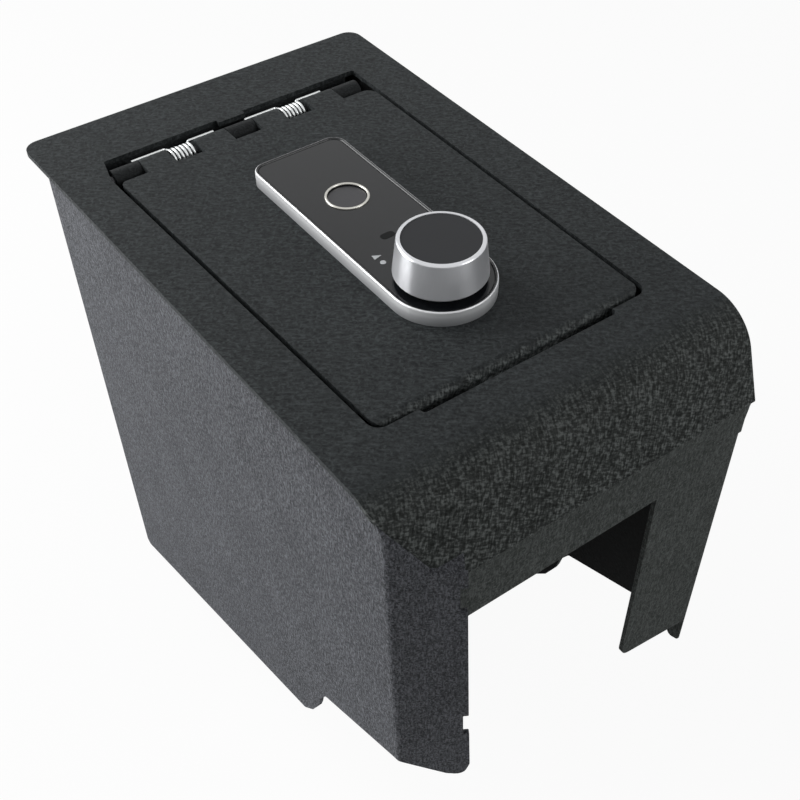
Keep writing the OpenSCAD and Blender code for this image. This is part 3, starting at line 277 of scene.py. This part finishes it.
# Where the plate starts to roll and its painted highlight begins, and the lid's front edge
ROLL_START = at(0, -3.85, 0).y
LID_FRONT = at(0, 15.8, 0).y
coats = {
    "plate": two_coats("coat_plate_painted_roll_highlight", LIP_PAINTED_HIGHLIGHT_LOOK, FLAT_LOOK, "Y",
                       ROLL_START - 0.012, ROLL_START + 0.001),
    "lid": two_coats("coat_lid_worn_highlit_roll", WORN_AND_HIGHLIT_LOOK, FLAT_LOOK, "Y",
                     LID_FRONT + 0.003, LID_FRONT + 0.006),
    "front": coat("coat_front", FRONT_LOOK),
    "wall": coat("coat_wall_painted_light", WALL_PAINTED_LIGHT_LOOK),
    # Painted shade on the right wall's inner face, whose normal points towards -X; the
    # front coat elsewhere
    "right": two_coats("coat_right_painted_shade", PAINTED_SHADE_LOOK, FRONT_LOOK, "X", -0.6, -0.5, True),
    "inner": coat("coat_inner_painted_shade", PAINTED_SHADE_LOOK),
    "hinge": coat("coat_hinge", HINGE_LOOK),
}
GIVEN = {
    "top_plate": coats["plate"], "lid_panel": coats["lid"],
    "front_panel": coats["front"], "left_wall": coats["wall"],
    "right_wall": coats["right"], "rear_wall": coats["wall"],
    "floor_pan": coats["inner"], "left_ledge": coats["inner"],
    "right_ledge": coats["inner"], "hinge_rail": coats["hinge"],
    "strike_plate": chrome("zinc_plate", (0.55, 0.56, 0.57), 0.38),
    "hinge_pin": chrome("dark_pin", (0.09, 0.09, 0.095), 0.4),
    "bump_stops": plastic("rubber", srgb(41, 41, 42), 0.75, 600, 0.05),
    "lock_rim": rim_with_painted_light("satin_rim_painted_light"),
    "sensor_ring": chrome("satin_ring", (0.56, 0.55, 0.51), 0.3),
    "knob_shell": chrome("satin_knob", (0.72, 0.73, 0.755), 0.3, 0.03, 0.85, 0.78),
    "lock_face": plastic("gloss_face", srgb(25, 27, 30), 0.1, 300, 0.0005, 0.15, 0.38),
    "fingerprint_pad": plastic("pad", srgb(50, 50, 54), 0.32, 1400, 0.01, 0.1),
    "status_window": plastic("window", srgb(14, 15, 16), 0.3, 300, 0.0005, 0.1, 0.1),
    "knob_cap": plastic("cap", srgb(60, 61, 63), 0.5, 2400, 0.01, 0.08, 0.12),
    "index_marks": plastic("white_print", srgb(214, 216, 218), 0.5, 1500, 0.01, 0.04),
    "lock_case": plastic("case", srgb(48, 49, 52), 0.5, 1100, 0.04),
    "case_cover": plastic("cover", srgb(48, 49, 52), 0.5, 1100, 0.04),
    "battery_door": plastic("door", srgb(44, 45, 48), 0.5, 1100, 0.04),
    "battery_tray": plastic("tray", srgb(55, 56, 60), 0.5, 1100, 0.04),
    "battery_cells": plastic("cells", srgb(150, 118, 60), 0.32, 300, 0.005, 0.08),
    "circuit_board": plastic("board", srgb(30, 88, 54), 0.35, 500, 0.02, 0.2),
    "case_screws": chrome("screw_steel", (0.6, 0.6, 0.61), 0.3),
    "lock_solenoid": chrome("solenoid_steel", (0.45, 0.46, 0.47), 0.38),
    "latch_bolt": chrome("bolt_steel", (0.55, 0.56, 0.57), 0.33),
    "spindle": chrome("spindle_steel", (0.6, 0.6, 0.61), 0.3),
    "drive_pinion": chrome("pinion_brass", (0.62, 0.46, 0.20), 0.33),
}


def give(obj, material):
    obj.data.materials.clear()
    obj.data.materials.append(material)


for name, material in GIVEN.items():
    give(nodes[name], material)


def soften(name, width, angle=35):
    """Rounds a node's sharp edges as a coat or a mould leaves them."""
    obj = nodes[name]
    weld = obj.modifiers.new("weld", "WELD")
    weld.merge_threshold = 0.002 * MM
    bevel = obj.modifiers.new("edge", "BEVEL")
    bevel.width = width * MM
    bevel.segments = 2
    bevel.limit_method = "ANGLE"
    bevel.angle_limit = math.radians(angle)
    bevel.use_clamp_overlap = True
    bevel.harden_normals = False
    bevel.miter_outer = "MITER_ARC"


for name in ("top_plate", "lid_panel", "front_panel", "left_wall", "right_wall"):
    soften(name, 0.5)
for name in ("lock_case", "case_cover", "battery_door"):
    soften(name, 0.4)
soften("lock_rim", 0.25, 60)

# Lid springs, mm: the same sizes as in the part's source
WIRE_R = 0.75
COIL_R = 4.7
TURNS = 5
COIL_LEN = 12.0
ARM_LEFT = 24.1
ARM_RIGHT = 21.1
ARM_SET = 6.7
ARM_RISE = 2.4
ARM_BEND = 1.6
# Straight end of each arm, and the middle of each coil from the plate's middle
ARM_END = 10
COIL_X = {"left": -36.65, "right": 26.45}
# Steps of a quarter bend, of one turn of the coil and of the part turn at its ends
BEND_STEPS = 6
TURN_STEPS = 24
PART_STEPS = 18
# How much thinner the drawn wire is than the part's own
INSET = 0.02


def spring_route():
    """Centre line of a spring from the middle of its coil: left arm, coil, right arm."""
    tilt = math.atan2(ARM_RISE, ARM_SET)
    touch = math.acos(COIL_R / math.hypot(ARM_SET, ARM_RISE))
    sweep = 2 * math.pi * (TURNS + 1) - 2 * touch
    half, y, z = COIL_LEN / 2, HINGE_Y + ARM_SET, HINGE_Z + ARM_RISE

    def run(angle):
        return Vector((ARM_SET - COIL_R * math.cos(angle),
                       ARM_RISE - COIL_R * math.sin(angle))).normalized()

    points = [(-ARM_LEFT, y, z), (-ARM_LEFT + ARM_END, y, z)]
    leave = run(tilt + touch)
    for k in range(BEND_STEPS + 1):
        a = math.radians(90 / BEND_STEPS * k)
        q = ARM_BEND * (1 - math.cos(a))
        points.append((-half - ARM_BEND + ARM_BEND * math.sin(a),
                       y - leave[0] * q, z - leave[1] * q))
    steps = TURN_STEPS * TURNS + PART_STEPS
    for k in range(steps + 1):
        a = tilt + touch + sweep * k / steps
        points.append((-half + COIL_LEN * k / steps, HINGE_Y + COIL_R * math.cos(a),
                       HINGE_Z + COIL_R * math.sin(a)))
    leave = run(tilt - touch)
    for k in range(BEND_STEPS + 1):
        a = math.radians(90 / BEND_STEPS * k)
        q = ARM_BEND * (1 - math.sin(a))
        points.append((half + ARM_BEND * (1 - math.cos(a)),
                       y - leave[0] * q, z - leave[1] * q))
    return points + [(ARM_RIGHT - ARM_END, y, z), (ARM_RIGHT, y, z)]


def wire(name, points, radius, material):
    """A round wire along the points, closed at its ends, as a mesh."""
    curve = bpy.data.curves.new(name, "CURVE")
    curve.dimensions = "3D"
    spline = curve.splines.new("POLY")
    spline.points.add(len(points) - 1)
    for point, place in zip(spline.points, points):
        point.co = (*place, 1)
    curve.bevel_depth = radius
    curve.bevel_resolution = 3
    curve.use_fill_caps = True
    obj = bpy.data.objects.new(name, curve)
    bpy.context.scene.collection.objects.link(obj)
    mesh = bpy.data.meshes.new_from_object(
        obj.evaluated_get(bpy.context.evaluated_depsgraph_get()))
    bpy.data.objects.remove(obj)
    piece = bpy.data.objects.new(name, mesh)
    bpy.context.scene.collection.objects.link(piece)
    for face in mesh.polygons:
        face.use_smooth = True
    give(piece, material)
    return piece


zinc = chrome("spring_zinc", (0.70, 0.72, 0.72), 0.34)
for side, middle in COIL_X.items():
    route = [at(middle + x, y, z) for x, y, z in spring_route()]
    spring = wire(side + "_lid_spring", route, (WIRE_R - INSET) * MM, zinc)
    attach(spring, "safe_body")
    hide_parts(side + "_spring")

# Stage
scene = bpy.context.scene
scene.view_settings.view_transform = "Standard"
# Half width of the floor, its colour, and how far the camera sees it as plain white
FLOOR_HALF = 3.0
FLOOR_COLOUR = (0.86, 0.86, 0.86, 1)
FLOOR_WHITE = 0.94
WHITE = (1, 1, 1, 1)


def emptied(owner):
    """The owner's node tree with nothing in it."""
    owner.use_nodes = True
    owner.node_tree.nodes.clear()
    return owner.node_tree


def math_node(tree, operation, *inputs):
    """A Math node fed by sockets and plain numbers."""
    node = tree.nodes.new("ShaderNodeMath")
    node.operation = operation
    for place, value in enumerate(inputs):
        if isinstance(value, bpy.types.NodeSocket):
            tree.links.new(value, node.inputs[place])
        else:
            node.inputs[place].default_value = value
    return node.outputs[0]


def mixed(tree, factor, first, second, output):
    """Two shaders mixed by the factor into an output node."""
    mix = tree.nodes.new("ShaderNodeMixShader")
    out = tree.nodes.new("ShaderNodeOutput" + output)
    tree.links.new(factor, mix.inputs["Fac"])
    tree.links.new(first.outputs[0], mix.inputs[1])
    tree.links.new(second.outputs[0], mix.inputs[2])
    tree.links.new(mix.outputs[0], out.inputs["Surface"])


def background(name):
    """Pale floor that the camera sees nearly as white and that keeps the shadow."""
    m = bpy.data.materials.new(name)
    tree = emptied(m)
    diffuse = tree.nodes.new("ShaderNodeBsdfDiffuse")
    diffuse.inputs["Color"].default_value = FLOOR_COLOUR
    glow = tree.nodes.new("ShaderNodeEmission")
    glow.inputs["Color"].default_value = WHITE
    path = tree.nodes.new("ShaderNodeLightPath")
    seen = math_node(tree, "MULTIPLY", path.outputs["Is Camera Ray"], FLOOR_WHITE)
    mixed(tree, seen, diffuse, glow, "Material")
    return m


mesh = bpy.data.meshes.new("floor")
mesh.from_pydata([(-FLOOR_HALF, -FLOOR_HALF, 0), (FLOOR_HALF, -FLOOR_HALF, 0),
                  (FLOOR_HALF, FLOOR_HALF, 0), (-FLOOR_HALF, FLOOR_HALF, 0)],
                 [], [(0, 1, 2, 3)])
floor = bpy.data.objects.new("floor", mesh)
floor.location.z = cad_box[0][2]
scene.collection.objects.link(floor)
floor.data.materials.append(background("pale_floor"))

# World: soft light, seen as white by the camera and in reflections
world = bpy.data.worlds.new("studio")
scene.world = world
tree = emptied(world)
soft = tree.nodes.new("ShaderNodeBackground")
soft.inputs["Color"].default_value = (0.95, 0.97, 1.0, 1)
soft.inputs["Strength"].default_value = 0.14
white = tree.nodes.new("ShaderNodeBackground")
white.inputs["Color"].default_value = WHITE
path = tree.nodes.new("ShaderNodeLightPath")
seen = math_node(tree, "MAXIMUM", path.outputs["Is Camera Ray"],
                 path.outputs["Is Glossy Ray"])
seen = math_node(tree, "MAXIMUM", seen, path.outputs["Is Transmission Ray"])
mixed(tree, seen, soft, white, "World")


def lamp(name, place, size, power):
    """A white area lamp that faces the object."""
    data = bpy.data.lights.new(name, "AREA")
    data.shape = "RECTANGLE"
    data.size, data.size_y = size
    data.energy = power
    obj = bpy.data.objects.new(name, data)
    scene.collection.objects.link(obj)
    obj.location = place
    obj.rotation_euler = (AIM - Vector(place)).to_track_quat("-Z", "Y").to_euler()


# The point that the lamps face, then each lamp's place and size in metres and its watts
AIM = Vector((0, 0, 0.2))
lamp("left_box", (-1.25, 0.75, 0.5), (0.8, 0.9), 16.5)
lamp("front_box", (0.62, -1.15, 0.95), (0.7, 0.5), 5)
lamp("top_box", (-0.45, 0.88, 0.9), (0.7, 0.7), 7)

# Camera, as fitted to the photo: its place in mm, where it looks, lens and shift
CAMERA_PLACE = at(-239.64, -245.47, 320.61)
CAMERA_LOOK = Vector((0.39263, 0.53532, -0.74785))
data = bpy.data.cameras.new("camera")
data.sensor_width = 36
data.lens = 53.06
data.shift_x = -0.025
data.shift_y = 0.10
data.clip_end = 20
camera = bpy.data.objects.new("camera", data)
scene.collection.objects.link(camera)
camera.location = CAMERA_PLACE
camera.rotation_euler = CAMERA_LOOK.to_track_quat("-Z", "Y").to_euler()
scene.camera = camera
